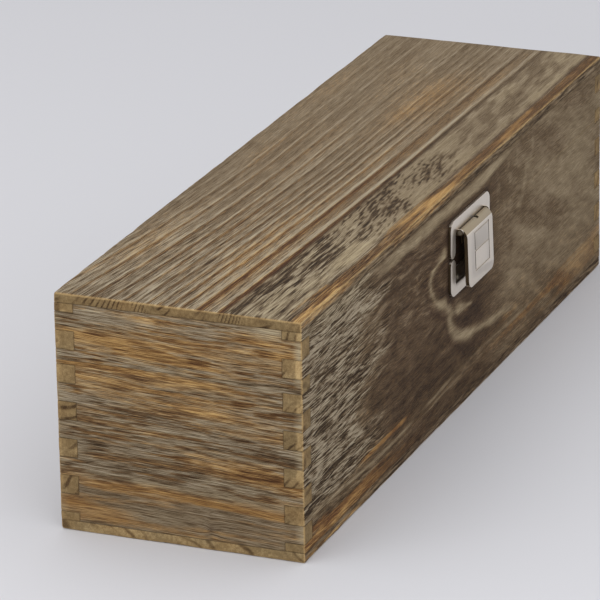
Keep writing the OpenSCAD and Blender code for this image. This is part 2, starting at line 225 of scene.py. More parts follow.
def latch_grime_and_shade(s, t):
    """Grime with a painted contact shadow round the latch plates, and painted shade on the wood behind their
    windows, under the flap.
    """
    beside = np.maximum(np.abs(s - LATCH_S) - LATCH_HALF, 0)
    above = np.maximum(np.maximum(LATCH_TOP - t, t - LATCH_FOOT), 0)
    grime_and_shadow = bump(np.hypot(beside, above), 0, GRIME_AND_SHADOW)
    behind = inside(s, LATCH_S - LATCH_HALF, LATCH_S + LATCH_HALF, 0.3)
    return grime_and_shadow, behind * inside(t, LATCH_TOP, LATCH_FOOT, 0.3)


def front_grain(s, t):
    """Front boards, whose grain runs on over the saw cut."""
    w, far, soft, broad, mottled = front_pattern(s, t)
    brushed = brushed_part(s, t, w)
    reach, arch = pale_figure(s, t)
    grime_and_shadow, behind = latch_grime_and_shade(s, t)
    line = fibres(s, w, 23, 0.7, 8)
    streaks = noise(s / 40, t / 0.9, 28)
    clusters = 0.55 * noise(s / 17, w / 3.4, 33) + 0.45 * noise(s / 8, w / 1.5, 58)
    specks = smooth(0.56, 0.68, noise(s / 4.5, w / 1.1, 39)) * inside(s, 62, 150, 22) * inside(t, 8, 48, 12)
    island = inside(s, 164, 194, 4) * inside(t, 56.5, 64.5, 1.5)
    top_strip = inside(t, STRIP_TOP, STRIP_FOOT - STRIP_THINNER * smooth(190, 232, s), 1.4)
    top_strip = top_strip * inside(s, 80, 230, 14)
    low_line = bump(w, LINE_AT, 0.75) + 0.5 * bump(w, LINE_BELOW, 0.5)
    low_line = 1.5 * low_line * smooth(0.2, 0.6, noise(s / 24, w / 30, 35)) * (1 - 0.6 * smooth(150, 210, s))
    foot_band = inside(t, *FOOT_BAND, 0.8)
    glow = bump(t, GLOW_AT - 0.02 * s, 2.4) * (1 - smooth(40, 90, s))
    orange = bump(t, ORANGE_AT, 1.5) * inside(s, 60, 108, 10) * smooth(0.2, 0.5, streaks)
    curls = smooth(0.58, 0.8, noise(s / 3.4 + t / 14, t / 9, 55))
    curls = curls * inside(s, 214, 264, 10) * inside(t, 7, 34, 7)
    faint = inside(s, 86, 150, 16) * inside(t, 10, 40, 9)
    faint = faint + 0.7 * inside(s, 96, 130, 10) * inside(t, 58, 74, 5)
    ember = smooth(0.42, 0.7, noise(s / 45, t / 3.2, 56))

    plain = 0.32 + 0.16 * (soft - 0.5) + 0.30 * (mottled - 0.5) + 0.16 * (broad - 0.5) + 0.10 * far
    near_ridge = 0.63 + 0.98 * (line - 0.5) + 0.58 * (clusters - 0.5) - 0.10 * smooth(45, 70, t)
    near_ridge = near_ridge + 0.14 * (1 - smooth(8, 24, t))
    ridge = plain + (near_ridge - plain) * brushed + 0.36 * arch + 0.33 * top_strip + 0.25 * low_line
    ridge = ridge - 0.02 * inside(t, 78, 96, 2) * (1 - smooth(90, 170, s)) + 0.16 * glow + 0.22 * specks
    cloudy = 0.07 - 0.12 * (mottled - 0.5) + 0.06 * (broad - 0.5) - 0.07 * inside(t, 64, 96, 6)
    ridge = ridge + far * cloudy
    ridge = ridge + 0.10 * curls
    # Painted contact shadow with grime round the latch plates, and painted shade darkening the wood behind
    # their windows
    ridge = ridge - 0.20 * grime_and_shadow - 0.6 * behind + 0.12 * orange

    pale = 0.95 * arch + 0.85 * top_strip + 0.6 * low_line
    pale = pale + 0.25 * far * smooth(0.4, 0.75, broad) + 0.08 * far
    pale = pale + 0.25 * faint * smooth(0.55, 0.8, soft)
    pale = pale + 0.45 * smooth(276, 322, s) * inside(t, 10, 68, 12) * smooth(0.15, 0.5, broad)
    pale = pale + 0.30 * curls
    pale = pale * (1 - 0.9 * brushed) + 0.45 * brushed * (1 - smooth(3, 12, t))

    warm = 0.95 * orange + 0.80 * foot_band * (1 - smooth(60, 150, s)) * smooth(0.25, 0.6, streaks)
    warm = warm + 0.7 * glow + 0.30 * (1 - far) * (1 - brushed) + 0.16 * far
    reddish = 0.55 * ember * inside(t, 76, 91, 3) + 0.2 * smooth(0.5, 0.8, mottled) * inside(t, 60, 92, 6)
    warm = warm + far * reddish

    figure = np.clip(arch + top_strip, 0, 1)
    dark = 0.66 * (1 - far) * smooth(50, 95, s) * (1 - brushed) * (1 - 0.8 * figure)
    dark = dark * (1 - 0.4 * inside(t, 78, 96, 3)) + 0.10 * far
    dark = dark + 0.35 * island + 0.30 * foot_band * smooth(40, 120, s) * (1 - 0.5 * smooth(120, 260, s))
    dark = dark + 0.30 * bump(reach, 5.0, 1.8) * (1 - far) + 0.30 * brushed * (1 - clusters)
    # The painted contact shadow and grime round the latch also darken the colour
    dark = (dark * (1 - orange) + 0.8 * grime_and_shadow) * (1 - 0.5 * glow)

    flow_w = 2.0 * np.where(t > LEVEL_FROM[1], w, t + (w - t) * (1 - 0.6 * far))
    return 1.3 * s, flow_w, 0.10 + 0.9 * brushed, ridge, pale * (1 - grime_and_shadow), warm * (1 - grime_and_shadow), dark


# Raised rings of the top: distance from the back edge, width and height
TOP_RINGS = (
    (64.0, 0.75, 0.55), (71.3, 0.8, 0.62), (58.8, 0.5, 0.36), (54.6, 0.5, 0.34), (50.9, 0.45, 0.28),
    (46.9, 0.45, 0.30), (43.0, 0.45, 0.26), (38.5, 0.5, 0.32), (33.5, 0.5, 0.30), (27.0, 0.55, 0.30),
    (19.5, 0.55, 0.26), (12.5, 0.55, 0.22),
)
# The near part of the top, which is brushed deeper, ends over this stretch
NEAR_PART = 45, 150
# The rings fan out up to this length
FAN_END = 175
# Flecked band of the top, and the bald patch on it
FLECKED_BAND = 74.0, 93.5
BALD_S, BALD_T = (62, 92), (86.5, 94.5)
# Golden edge of the top, the stretch where it is wider, and the dull stretch between its golden patches
EDGE_FROM, EDGE_WIDER, EDGE_DULL = (94.6, 95.8), (102, 158), (50, 98)


def add_rings(ridge, s, w, near):
    """Adds the raised rings to a ridge, and gives the brown hollows beside them."""
    brown = 0
    for middle, width, lift in TOP_RINGS:
        clear = smooth(0.10, 0.45, noise(s / 50, middle, 46) + 0.2)
        clear = clear * (1 - 0.55 * smooth(150, 300, s)) * (1 + 0.6 * near)
        hollow = lift * clear * bump(w, middle + 2.3 * width, 1.5 * width)
        ridge = ridge + lift * clear * bump(w, middle, width) - 0.7 * hollow
        brown = brown + hollow
    return ridge, brown


def band_flecks(s, w, thin, patch, near):
    """Dark flecks of the top's band: thin near, small and slanted beside the latch, soft beyond it."""
    lean = s + 2.0 * (w - 82)
    blots = noise(lean / 4.2, w / 1.0, 47) * 0.5 + noise(lean / 2.1, w / 0.65, 48) * 0.5
    blobs = noise(lean / 8, w / 2.2, 54)
    distant = smooth(185, 215, s)
    haze = smooth(100, 190, s)
    flecks = (blots * (1 - distant) + blobs * distant) * (1 - near) + (0.2 * blots + 0.8 * thin) * near
    flecks = flecks + 0.40 * (patch - 0.5) - 0.12 * smooth(86, 91, w)
    return smooth(0.46 - 0.05 * haze, 0.62 + 0.12 * haze, flecks) * (1 - 0.68 * distant)


def golden_edge(s, t, bald):
    """Where the worn front edge of the top lies, and where it glows."""
    wide = inside(s, *EDGE_WIDER, 10)
    edge = smooth(*EDGE_FROM, t + 1.4 * wide + 0.8 * sway(s / 18, 0.0, 51)) * (1 - bald)
    glow = noise(s / 26, t / 2.0, 52) + 0.35 * wide
    glow = glow + 0.2 * inside(s, 8, 42, 6) + 0.15 * inside(s, 240, 264, 8)
    glow = glow - 0.30 * smooth(158, 172, s) - 0.38 * inside(s, *EDGE_DULL, 8)
    glow = smooth(0.30, 0.62, glow) * (1 - 0.55 * smooth(158, 176, s))
    return edge, glow * (1 - (1 - smooth(95.8, 97.6, t)) * (1 - smooth(70, 100, s)))


def top_grain(s, t):
    """Face of the top panel: rings behind, a flecked band, and a worn golden edge in front."""
    near = 1 - smooth(*NEAR_PART, s)
    fan = (1 - np.clip(s / FAN_END, 0, 1)) ** 1.5
    w = t + fan * (5 + 0.15 * (64 - t)) + 2.2 * sway(s / 120, t / 60, 41)
    fine = fibres(s, w, 43, 0.5, 30)
    soft = noise(s / 110, w / 1.3, 44)
    broad = noise(s / 90, w / 6.0, 45)
    thin = noise(s / 10, w / 0.45, 49)
    patch = noise(s / 22, w / 7, 50)
    shreds = smooth(0.45, 0.75, noise(s / 16, t / 1.2, 53))
    band = inside(w, *FLECKED_BAND, 0.8)
    bald = inside(s, *BALD_S, 6) * inside(t, *BALD_T, 1.5)
    fleck = band * band_flecks(s, w, thin, patch, near) * (1 - bald)
    edge, glow = golden_edge(s, t, bald)

    ridge = 0.56 + 0.12 * near + 0.12 * (soft - 0.5) + 0.12 * (broad - 0.5)
    ridge = ridge + (0.10 + 0.18 * near) * (fine - 0.5)
    ridge, brown = add_rings(ridge, s, w, near)
    ridge = ridge * (1 - 0.72 * fleck) + 0.08 * band * (1 - fleck) + 0.12 * bald
    ridge = ridge - 0.30 * edge * (1 - glow) + 0.22 * edge * glow - 0.04 * band * (1 - near)

    pale = band * (0.30 + 0.40 * smooth(0.35, 0.7, 1 - patch)) * (1 - fleck)
    pale = pale + 0.5 * bump(t, 92.2, 0.9) * smooth(80, 110, s) + 0.8 * bald

    warm = edge * (0.55 + 0.55 * glow) + 0.9 * brown * (1 - smooth(190, 240, s))
    ground = inside(t, 0, 72, 3) * inside(s, 30, 330, 30)
    warm = warm + ground * (0.15 + 0.20 * sway(s / 30, t / 9, 57))
    warm = warm + 0.75 * shreds * inside(t, 90, 98, 1.5) * (1 - smooth(40, 62, s))
    warm = warm + 0.24 * inside(w, 65.3, 70.2, 1.0) + 0.12 * smooth(0.45, 0.8, broad)
    warm = warm + 0.10 * near * (1 - band)
    warm = warm + 0.30 * inside(s, 228, 300, 24) * inside(t, 38, 62, 10)

    dark = 0.75 * bump(t, EDGE_FROM[0], 0.7) * (1 - bald) + 0.30 * inside(w, 72.8, 74.6, 0.6)
    dark = dark + 0.20 * inside(w, 64.5, 70.5, 1.0)
    dark = dark + 0.45 * inside(t, 87.5, 92.5, 1.2) * (1 - smooth(42, 58, s)) * smooth(0.35, 0.6, thin)
    dark = dark + 0.30 * fleck + 0.20 * edge * (1 - glow) + 0.10 * band * (1 - near) * (1 - fleck)
    return 1.05 * s, 2.7 * w, 0.15 + 0.40 * near, ridge, pale, warm, dark


# Near end, in mm: its knot, a long dark mark, and small dark dots with their radius
KNOT = 62.7, 88
LONG_MARK_AT = 63.6
DOTS = ((93.5, 5.0, 1.0), (7.4, 4.6, 0.45), (7.7, 20.2, 0.45))
# It is worn pale beyond the first place, and before the second one
WORN_RIGHT, WORN_LEFT = (97.0, 97.9), (0.8, 2.4)


def rubbed_edges(u, t):
    """Where the near face is worn pale: down its right edge, and less down its left one."""
    patchy = smooth(0.12, 0.4, noise(0.0, t / 6, 71)) * (0.65 + 0.35 * inside(t, 7, 24, 2))
    right = smooth(*WORN_RIGHT, u + 1.2 * sway(u / 4, t / 2.2, 68)) * patchy
    left = 0.35 * (1 - smooth(*WORN_LEFT, u + 1.2 * sway(u / 3, t / 3, 72)))
    return np.maximum(right, left)


def near_grain(u, t):
    """Near end of the box: fibres across it, dipping towards the front."""
    w = t - 0.045 * u + 1.4 * sway(u / 50, t / 18, 61) + 0.5 * sway(u / 18, t / 5, 62)
    knot = np.hypot((u - KNOT[0]) / 0.8, (t - KNOT[1]) / 1.7)
    w = w + 0.9 * np.exp(-((knot / 3.0) ** 2)) * np.sign(t - KNOT[1])
    line = fibres(u, w, 63, 0.4, 16)
    clusters = 0.6 * noise(u / 26, w / 0.8, 64) + 0.4 * noise(u / 50, w / 5.0, 70)
    lens = 0.75 * noise(u / 8.5, w / 0.55, 65) + 0.25 * noise(u / 14, w / 4.0, 73)
    gold = 0.55 * noise(u / 55, w / 4.6, 66) + 0.45 * noise(u / 20, w / 1.3, 69)
    upper = (1 - smooth(24, 50, t + 0.22 * u)) * (1 - 0.5 * smooth(40, 85, u))
    lower = smooth(70, 76, t)
    long_mark = bump(t, LONG_MARK_AT + 0.01 * u, 0.8) * inside(u, 9, 92, 3)
    shade = np.maximum(smooth(0.57, 0.66, lens) * inside(t, 3, 76, 3), 0.9 * long_mark)
    corner = inside(u, 82, 104, 5) * (1 - smooth(5.5, 8.0, t))
    rubbed = np.maximum(rubbed_edges(u, t), 0.6 * corner)

    ridge = 0.64 + 0.20 * (line - 0.5) + 0.14 * (clusters - 0.5) - 0.10 * lower + 0.06 * upper
    ridge = ridge - 0.30 * shade
    ridge = ridge + 0.34 * rubbed

    warm = 0.33 + 0.24 * upper + 2.0 * (gold - 0.5) + 0.14 * lower
    warm = warm + 0.45 * shade - 0.35 * inside(t, 51, 62, 3)

    dark = 0.35 * shade * (1 - 0.6 * upper)
    dark = dark + 0.9 * np.exp(-(knot ** 2)) + 0.25 * np.exp(-((knot / 2.4) ** 2))
    for at_u, at_t, size in DOTS:
        dark = dark + 1.2 * np.exp(-((np.hypot(u - at_u, t - at_t) / size) ** 2))
    dark = dark * (1 - 0.8 * np.clip(rubbed, 0, 1))

    pale = 0.20 * smooth(0.5, 0.8, noise(u / 40, w / 2.2, 67)) + 0.30 * inside(w, 69.5, 72.5, 1.0)
    pale = pale + 0.9 * rubbed
    return 1.15 * u, 4.4 * w, 0.60 * (1 - 0.3 * lower), ridge, pale, warm, dark


def plain_grain(seed, warmth, shade=0.15):
    """Face with straight and even grain."""
    def field(s, t):
        w = t + 6 * sway(s / 130, t / 60, seed) + 1.2 * sway(s / 30, t / 10, seed + 7)
        line = fibres(s, w, seed + 1, 1.0, 15)
        soft = noise(s / 60, w / 2.6, seed + 4)
        broad = noise(s / 90, w / 9, seed + 5)
        ring = 0.5 + 0.5 * np.sin(w / 1.15 + 5 * noise(s / 110, w / 16, seed + 6))
        ridge = 0.46 + 0.22 * (line - 0.5) + 0.16 * (soft - 0.5) + 0.14 * (ring ** 3 - 0.3)
        pale = 0.4 * smooth(0.55, 0.85, broad)
        warm = warmth + 0.4 * smooth(0.55, 0.85, 1 - broad) * soft
        return 0.9 * s, 1.3 * w, 0.24, ridge, pale, warm, shade
    return field


def panel_edge(seed, glow, shade, glow_end, glow_depth, dull=0.0):
    """Front edge of a panel: golden to a length and a depth, and there dull between two patches."""
    def field(s, t):
        line = noise(s / 14, t / 0.7, seed)
        streak = smooth(0.3, 0.7, noise(s / 40, t / 1.6, seed + 1))
        bright = (1 - smooth(glow_end - 30, glow_end + 30, s)) * streak
        bright = bright * (1 - smooth(glow_depth - 0.8, glow_depth + 0.8, t))
        bright = bright * (1 - dull * inside(s, 54, 96, 8))
        ridge = 0.42 + 0.4 * (line - 0.5) + 0.18 * bright + 0.10 * (1 - smooth(40, 90, s))
        warm = glow * (0.25 + 0.6 * bright)
        return s, t, 0.4, ridge, 0.3 * glow * (1 - bright), warm, shade * (1 - 0.75 * bright)
    return field


def cut_grain(seed, slant, pitch, brightness, contrast=0.3):
    """End grain: growth rings as slanted lines between fine pores."""
    def field(u, t):
        pores = sway(u / 0.9, t / 0.9, seed)
        bent = u + slant * t + 0.02 * (u % 40 - 20) ** 2
        ring = np.sin(bent * 2 * math.pi / pitch + 9 * noise(u / 9, t / 9, seed + 1))
        line = smooth(0.35, 0.95, ring) * smooth(0.25, 0.75, noise(u / 5, t / 5, seed + 3))
        each = sway(0.0, np.floor(t / FINGER) + 0.5, seed + 5)
        ridge = brightness + 0.3 * pores + 0.22 * sway(u / 6, t / 3, seed + 2) + 0.2 * each
        warm = 0.25 * noise(u / 10, t / 4, seed + 4)
        return u, t, 0.3, ridge - contrast * line, 0, warm, 0.5 * contrast * line
    return field


def rubbed_cut(seed, slant, pitch, brightness, contrast):
    """End grain of the fingers in the near face, worn at its edges."""
    plain = cut_grain(seed, slant, pitch, brightness, contrast)

    def field(u, t):
        flow_s, flow_w, deep, ridge, _, warm, dark = plain(u, t)
        rubbed = rubbed_edges(u, t)
        return flow_s, flow_w, deep, ridge + 0.1 * rubbed, 0.6 * rubbed, warm, dark * (1 - rubbed)
    return field


# For each side of the box: its axis, its side of it, and how a place in mm becomes a face's own
SIDES = {
    "near": (0, -1, lambda p: (HIGH[1] - p[:, 1], HIGH[2] - p[:, 2])),
    "far": (0, 1, lambda p: (p[:, 1] - LOW[1], HIGH[2] - p[:, 2])),
    "front": (1, -1, lambda p: (p[:, 0] - LOW[0], HIGH[2] - p[:, 2])),
    "back": (1, 1, lambda p: (HIGH[0] - p[:, 0], HIGH[2] - p[:, 2])),
    "top": (2, 1, lambda p: (p[:, 0] - LOW[0], HIGH[1] - p[:, 1])),
    "bottom": (2, -1, lambda p: (p[:, 0] - LOW[0], p[:, 1] - LOW[1])),
}

LONG_BOARD = {
    "near": rubbed_cut(101, 0.6, 3.1, 0.60, 0.4),
    "far": cut_grain(111, -0.5, 4.2, 0.58),
    "front": front_grain,
    "back": plain_grain(121, 0.12),
}
END_BOARD = {
    "near": near_grain,
    "far": plain_grain(131, 0.35),
    "front": cut_grain(141, 0.5, 6.0, 0.6),
    "back": cut_grain(151, -0.4, 5.0, 0.55),
}
TOP_PANEL = {
    "near": cut_grain(161, 0.5, 2.2, 0.56, 0.5),
    "far": cut_grain(171, -0.9, 3.8, 0.55, 0.5),
    "front": panel_edge(181, 0.8, 0.25, 170, 1.3, 0.75),
    "back": plain_grain(191, 0.3),
    "top": top_grain,
}
BOTTOM_PANEL = {
    "near": cut_grain(201, -1.1, 8.5, 0.76, 0.45),
    "far": cut_grain(211, 0.9, 7.0, 0.65, 0.5),
    "front": panel_edge(221, 0.9, 0.7, 70, 200),
    "back": plain_grain(231, 0.2),
    "bottom": plain_grain(241, 0.15),
}

# ---------------------------------------------------------------- boards


def lines(low, high, step, near):
    """Places of the mesh lines from low to high, with extra ones near both ends."""
    near = [d for d in near if d < (high - low) / 3]
    start = near[-1] if near else 0
    count = max(1, round((high - low - 2 * start) / step))
    middle = np.linspace(low + start, high - start, count + 1)
    before = [low, *(low + d for d in near[:-1])] if near else []
    after = [*(high - d for d in near[:-1][::-1]), high] if near else []
    return np.array([*before, *middle, *after])


def board_mesh(name, stops, solid, grain):
    """Closed mesh of a board made of blocks between stops: fine faces outside, plain ones inside.

    Returns the mesh, the places of its vertices in mm, which of them lie on a joint, and for each outer
    face, which come first, twice its axis, plus one on the high side."""
    fine, index = [], []
    for axis in range(3):
        near = NEAR_END if axis == grain else ()
        step = ALONG if axis == grain else ACROSS
        parts = [lines(a, b, step, near) for a, b in zip(stops[axis], stops[axis][1:])]
        fine.append(np.concatenate([parts[0], *(part[1:] for part in parts[1:])]))
        index.append(np.cumsum([0, *(len(part) - 1 for part in parts)]))
    shape = [len(f) for f in fine]

    def vertex(axis, level, b, c):
        """Number of the lattice point at a level of axis and at b and c of the two axes after it."""
        place = [0, 0, 0]
        place[axis], place[(axis + 1) % 3], place[(axis + 2) % 3] = level, b, c
        return (place[0] * shape[1] + place[1]) * shape[2] + place[2]

    quads, plain, slots, sides = [], [], [], []
    padded = np.pad(solid, 1)
    for i, j, k in zip(*np.nonzero(solid)):
        for axis in range(3):
            for side in (-1, 1):
                beside = [i + 1, j + 1, k + 1]
                beside[axis] += side
                if padded[tuple(beside)]:
                    continue
                cell = (i, j, k)
                level = index[axis][cell[axis] + (side > 0)]
                b0, b1 = (index[(axis + 1) % 3][cell[(axis + 1) % 3] + n] for n in (0, 1))
                c0, c1 = (index[(axis + 2) % 3][cell[(axis + 2) % 3] + n] for n in (0, 1))
                at = fine[axis][level]
                turn = slice(None, None, side)
                if at in (LOW[axis], HIGH[axis]):
                    b, c = np.meshgrid(np.arange(b0, b1), np.arange(c0, c1), indexing="ij")
                    b, c = b.ravel(), c.ravel()
                    loop = ((b, c), (b + 1, c), (b + 1, c + 1), (b, c + 1))[turn]
                    quads.append(np.stack([vertex(axis, level, *p) for p in loop], 1))
                    slots.append(np.full(len(b), SLOT_CUT if axis == grain else SLOT_BRUSHED))
                    sides.append(np.full(len(b), 2 * axis + (side > 0)))
                else:
                    loop = (
                        [(b, c0) for b in range(b0, b1)] + [(b1, c) for c in range(c0, c1)]
                        + [(b, c1) for b in range(b1, b0, -1)] + [(b0, c) for c in range(c1, c0, -1)]
                    )[turn]
                    plain.append([vertex(axis, level, *p) for p in loop])
    quads = np.concatenate(quads)
    flat = np.concatenate(plain)
    used, where = np.unique(np.concatenate([quads.ravel(), flat]), return_inverse=True)
    faces = where[: quads.size].reshape(-1, 4).tolist()
    start = quads.size
    for loop in plain:
        faces.append(where[start : start + len(loop)].tolist())
        start += len(loop)
    i, j, k = used // (shape[1] * shape[2]), used // shape[2] % shape[1], used % shape[2]
    places = np.stack([fine[0][i], fine[1][j], fine[2][k]], 1)
    joint = np.zeros(len(used), bool)
    joint[where[quads.size :]] = True
    mesh = bpy.data.meshes.new(name)
    mesh.from_pydata(places * MM, [], faces)
    slots = np.concatenate([*slots, np.full(len(plain), SLOT_PLANED)])
    mesh.polygons.foreach_set("material_index", slots.astype(np.int32))
    mesh.polygons.foreach_set("use_smooth", slots != SLOT_PLANED)
    return mesh, places, joint, np.concatenate(sides)


def arris_radius(p):
    """Radius of the worn arrises, which wanders along them."""
    run = noise((p[:, 0] + 0.6 * p[:, 1]) / 9, (p[:, 2] + 0.4 * p[:, 1]) / 9, 7)
    nicks = noise((p[:, 0] - 0.7 * p[:, 1]) / 3.1, (p[:, 2] - 0.3 * p[:, 0]) / 3.1, 8)
    return ARRIS + (ARRIS_WORN - ARRIS) * (0.65 * run ** 1.5 + 0.35 * nicks ** 3)


def face_fields(p, normal, fields):
    """What the faces' fields give at the outer vertices, shared out by their normals.

    For each face it also gives the fibres' own coordinates."""
    total = np.zeros((5, len(p)))
    flows = {}
    for side, (axis, sign, to_face) in SIDES.items():
        share = np.clip(normal[:, axis] * sign, 0, 1) ** 2
        near = share > LEAST_SHARE
        if side not in fields or not near.any():
            continue
        values = [np.broadcast_to(v, near.sum()) for v in fields[side](*to_face(p[near]))]
        total[:, near] += share[near] * np.stack(values[2:])
        flows[side] = np.zeros((len(p), 2))
        flows[side][near] = np.stack(values[:2], 1)
    return np.clip(total, 0, 1), flows


def finish_board(mesh, places, joint, sides, fields, lifted):
    """Brushes the outer faces: wears the arrises, cuts the grain's relief and stores what colours it."""
    outer = np.any((places == LOW) | (places == HIGH), axis=1)
    p = places[outer]
    r = arris_radius(p)[:, None]
    core = np.clip(p, LOW + r, HIGH - r)
    out = p - core
    normal = out / np.linalg.norm(out, axis=1, keepdims=True)
    unsawn = p + np.array([0, 0, KERF]) * lifted
    (deep, ridge, pale, warm, dark), flows = face_fields(unsawn, normal, fields)

    # The fibres' own coordinates belong to each face's corners, and are set apart from face to face
    corners = np.zeros(len(mesh.loops), np.int32)
    mesh.loops.foreach_get("vertex_index", corners)
    number = np.cumsum(outer) - 1
    flow = np.zeros((len(corners), 3), np.float32)
    for side, along in flows.items():
        axis, sign = SIDES[side][:2]
        at = np.flatnonzero(np.repeat(sides == 2 * axis + (sign > 0), 4))
        flow[at, :2] = along[number[corners[at]]]
        flow[at, 2] = 20 * axis + 7 * sign

    seam = p[:, 2] == SEAM
    glued = joint[outer] & ~seam
    worn = smooth(0.0, 0.22, 1 - np.max(np.abs(normal), axis=1))
    worn = np.where(seam & joint[outer], SEAM_WORN, worn)
    depth = GROOVE * deep * (1 - ridge) * (1 - 0.7 * worn) + JOINT_LINE * joint[outer]
    moved = places.copy()
    moved[outer] = core + normal * (r - depth[:, None])
    mesh.vertices.foreach_set("co", (moved * MM).ravel())
    for name, columns in {
        "grain": (ridge, glued, worn, deep),
        "zone": (pale, warm, dark, np.zeros(len(p))),
    }.items():
        values = np.zeros((len(places), 4), np.float32)
        values[outer] = np.stack(columns, 1)
        mesh.attributes.new(name, "FLOAT_COLOR", "POINT").data.foreach_set("color", values.ravel())
    mesh.attributes.new("flow", "FLOAT_VECTOR", "CORNER").data.foreach_set("vector", flow.ravel())
    mesh.update()


def add_piece(name, mesh, body, node):
    """Puts a finished mesh in place of a CAD node, on its body."""
    piece = bpy.data.objects.new(name, mesh)
    bpy.context.scene.collection.objects.link(piece)
    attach(piece, body)
    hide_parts(node)


def make_board(name, node, body, stops, solid, grain, fields, materials):
    """A board of blocks between stops, whose grain runs along an axis, with a field for each face."""
    mesh, places, joint, sides = board_mesh(name, stops, solid, grain)
    finish_board(mesh, places, joint, sides, fields, body == "lid")
    for material in materials:
        mesh.materials.append(material)
    add_piece(name, mesh, body, node)


def frame_levels(body):
    """Heights of the finger edges in the body or the lid, and which slabs are the end boards' fingers."""
    if body == "lid":
        edges = finger_edges - KERF
        levels = [SEAM, *edges[edges > SEAM], top_low[2]]
    else:
        edges = finger_edges
        levels = [bottom_high[2], *edges[edges < SEAM], SEAM]
    middles = (np.array(levels[1:]) + levels[:-1]) / 2
    number = np.floor((middles - edges[0]) / FINGER)
    return levels, (number >= 0) & (number < finger_count) & (number % 2 == 0)


def make_boards(materials):
    """The eight boards of the frame, sawn into body and lid, and the two panels."""
    long_wood, end_wood, panel_wood = materials
    inner_low, inner_high = LOW + WALL, HIGH - WALL
    for body, short in (("box_body", "body"), ("lid", "lid")):
        levels, end_fingers = frame_levels(body)
        along = [LOW[0], inner_low[0], inner_high[0], HIGH[0]]
        across = [LOW[1], inner_low[1], inner_high[1], HIGH[1]]
        for side, wall in (("front", across[:2]), ("back", across[2:])):
            solid = np.ones((3, 1, len(levels) - 1), bool)
            solid[0, 0] = solid[2, 0] = ~end_fingers
            make_board(
                f"{short}_{side}_wood", f"{short}_{side}_board", body,
                [along, wall, levels], solid, 0, LONG_BOARD, long_wood,
            )
        for side, wall in (("left", along[:2]), ("right", along[2:])):
            solid = np.ones((1, 3, len(levels) - 1), bool)
            solid[0, 0] = solid[0, 2] = end_fingers
            make_board(
                f"{short}_{side}_end_wood", f"{short}_{side}_end_board", body,
                [wall, across, levels], solid, 1, END_BOARD, end_wood,
            )
    one = np.ones((1, 1, 1), bool)
    sheet = [[LOW[0], HIGH[0]], [LOW[1], HIGH[1]]]
    for node, body, heights, fields in (
        ("bottom_panel", "box_body", [LOW[2], bottom_high[2]], BOTTOM_PANEL),
        ("top_panel", "lid", [top_low[2], HIGH[2]], TOP_PANEL),
    ):
        make_board(
            node + "_wood", node, body,
            [*sheet, heights], one, 0, fields, panel_wood,
        )


# ---------------------------------------------------------------- materials


def tone(r, g, b):
    """Linear colour from an sRGB one, written as 0 to 255 per channel."""
    return (*(((c / 255 + 0.055) / 1.055) ** 2.4 if c > 10 else c / 3294.6 for c in (r, g, b)), 1.0)


class Nodes:
    """Short forms for building a material's nodes. A value that is a socket is linked, any other is set."""

    def __init__(self, name):
        self.material = bpy.data.materials.new(name)
        self.material.use_nodes = True
        self.tree = self.material.node_tree
        self.shader = self.tree.nodes["Principled BSDF"]

    def put(self, socket, value):
        if isinstance(value, bpy.types.NodeSocket):
            self.tree.links.new(value, socket)
        else:
            socket.default_value = value

    def node(self, kind, inputs=None, **settings):
        made = self.tree.nodes.new("ShaderNode" + kind)
        for key, value in settings.items():
            setattr(made, key, value)
        for key, value in (inputs or {}).items():
            self.put(made.inputs[key], value)
        return made

    def math(self, operation, a, b=0.0, c=0.0, clamp=False):
        return self.node("Math", {0: a, 1: b, 2: c}, operation=operation, use_clamp=clamp).outputs[0]

    def mix(self, share, a, b, blend="MIX"):
        made = self.node("Mix", data_type="RGBA", blend_type=blend)
        self.put(made.inputs[0], share)
        self.put(made.inputs[6], a)
        self.put(made.inputs[7], b)
        return made.outputs[2]

    def ramp(self, value, stops):
        made = self.node("ValToRGB", {"Fac": value})
        elements = made.color_ramp.elements
        while len(elements) < len(stops):
            elements.new(0.5)
        for element, (place, colour) in zip(elements, stops):
            element.position = place
            element.color = colour
        return made.outputs["Color"]

    def noise(self, scale, detail=3.0, roughness=0.55, distortion=0.0, flow=False):
        """Noise over the object in metres, or over its grain in mm, stretched by a scale for each axis."""
        if flow:
            place = self.node("Attribute", attribute_name="flow").outputs["Vector"]
        else:
            place = self.node("TexCoord").outputs["Object"]
        spread = self.node("Mapping", {"Vector": place, "Scale": scale}).outputs["Vector"]
        inputs = {"Vector": spread, "Scale": 1.0, "Detail": detail, "Roughness": roughness}
        inputs["Distortion"] = distortion
        return self.node("TexNoise", inputs).outputs["Fac"]

    def attribute(self, name):
        """The four parts of a colour attribute."""
        made = self.node("Attribute", attribute_name=name)
        three = self.node("SeparateColor", {"Color": made.outputs["Color"]}).outputs
        return three[0], three[1], three[2], made.outputs["Alpha"]

    def bump(self, height, strength, distance):
        """Fine relief over the surface, its distance in metres."""
        inputs = {"Height": height, "Strength": strength, "Distance": distance}
        self.put(self.shader.inputs["Normal"], self.node("Bump", inputs).outputs["Normal"])

    def matt(self, colour, roughness, specular):
        """A coloured surface with constant roughness and gloss."""
        self.put(self.shader.inputs["Base Color"], colour)
        self.shader.inputs["Roughness"].default_value = roughness
        self.shader.inputs["Specular IOR Level"].default_value = specular


def grain_scale(axis, along, across):
    """Scale for noise that is stretched along the grain."""
    return tuple(along if i == axis else across for i in range(3))


def ramp_stops(*colours):
    """Stops of a colour ramp, each written as its place and an sRGB colour."""
    return [(place, tone(*colour)) for place, colour in colours]


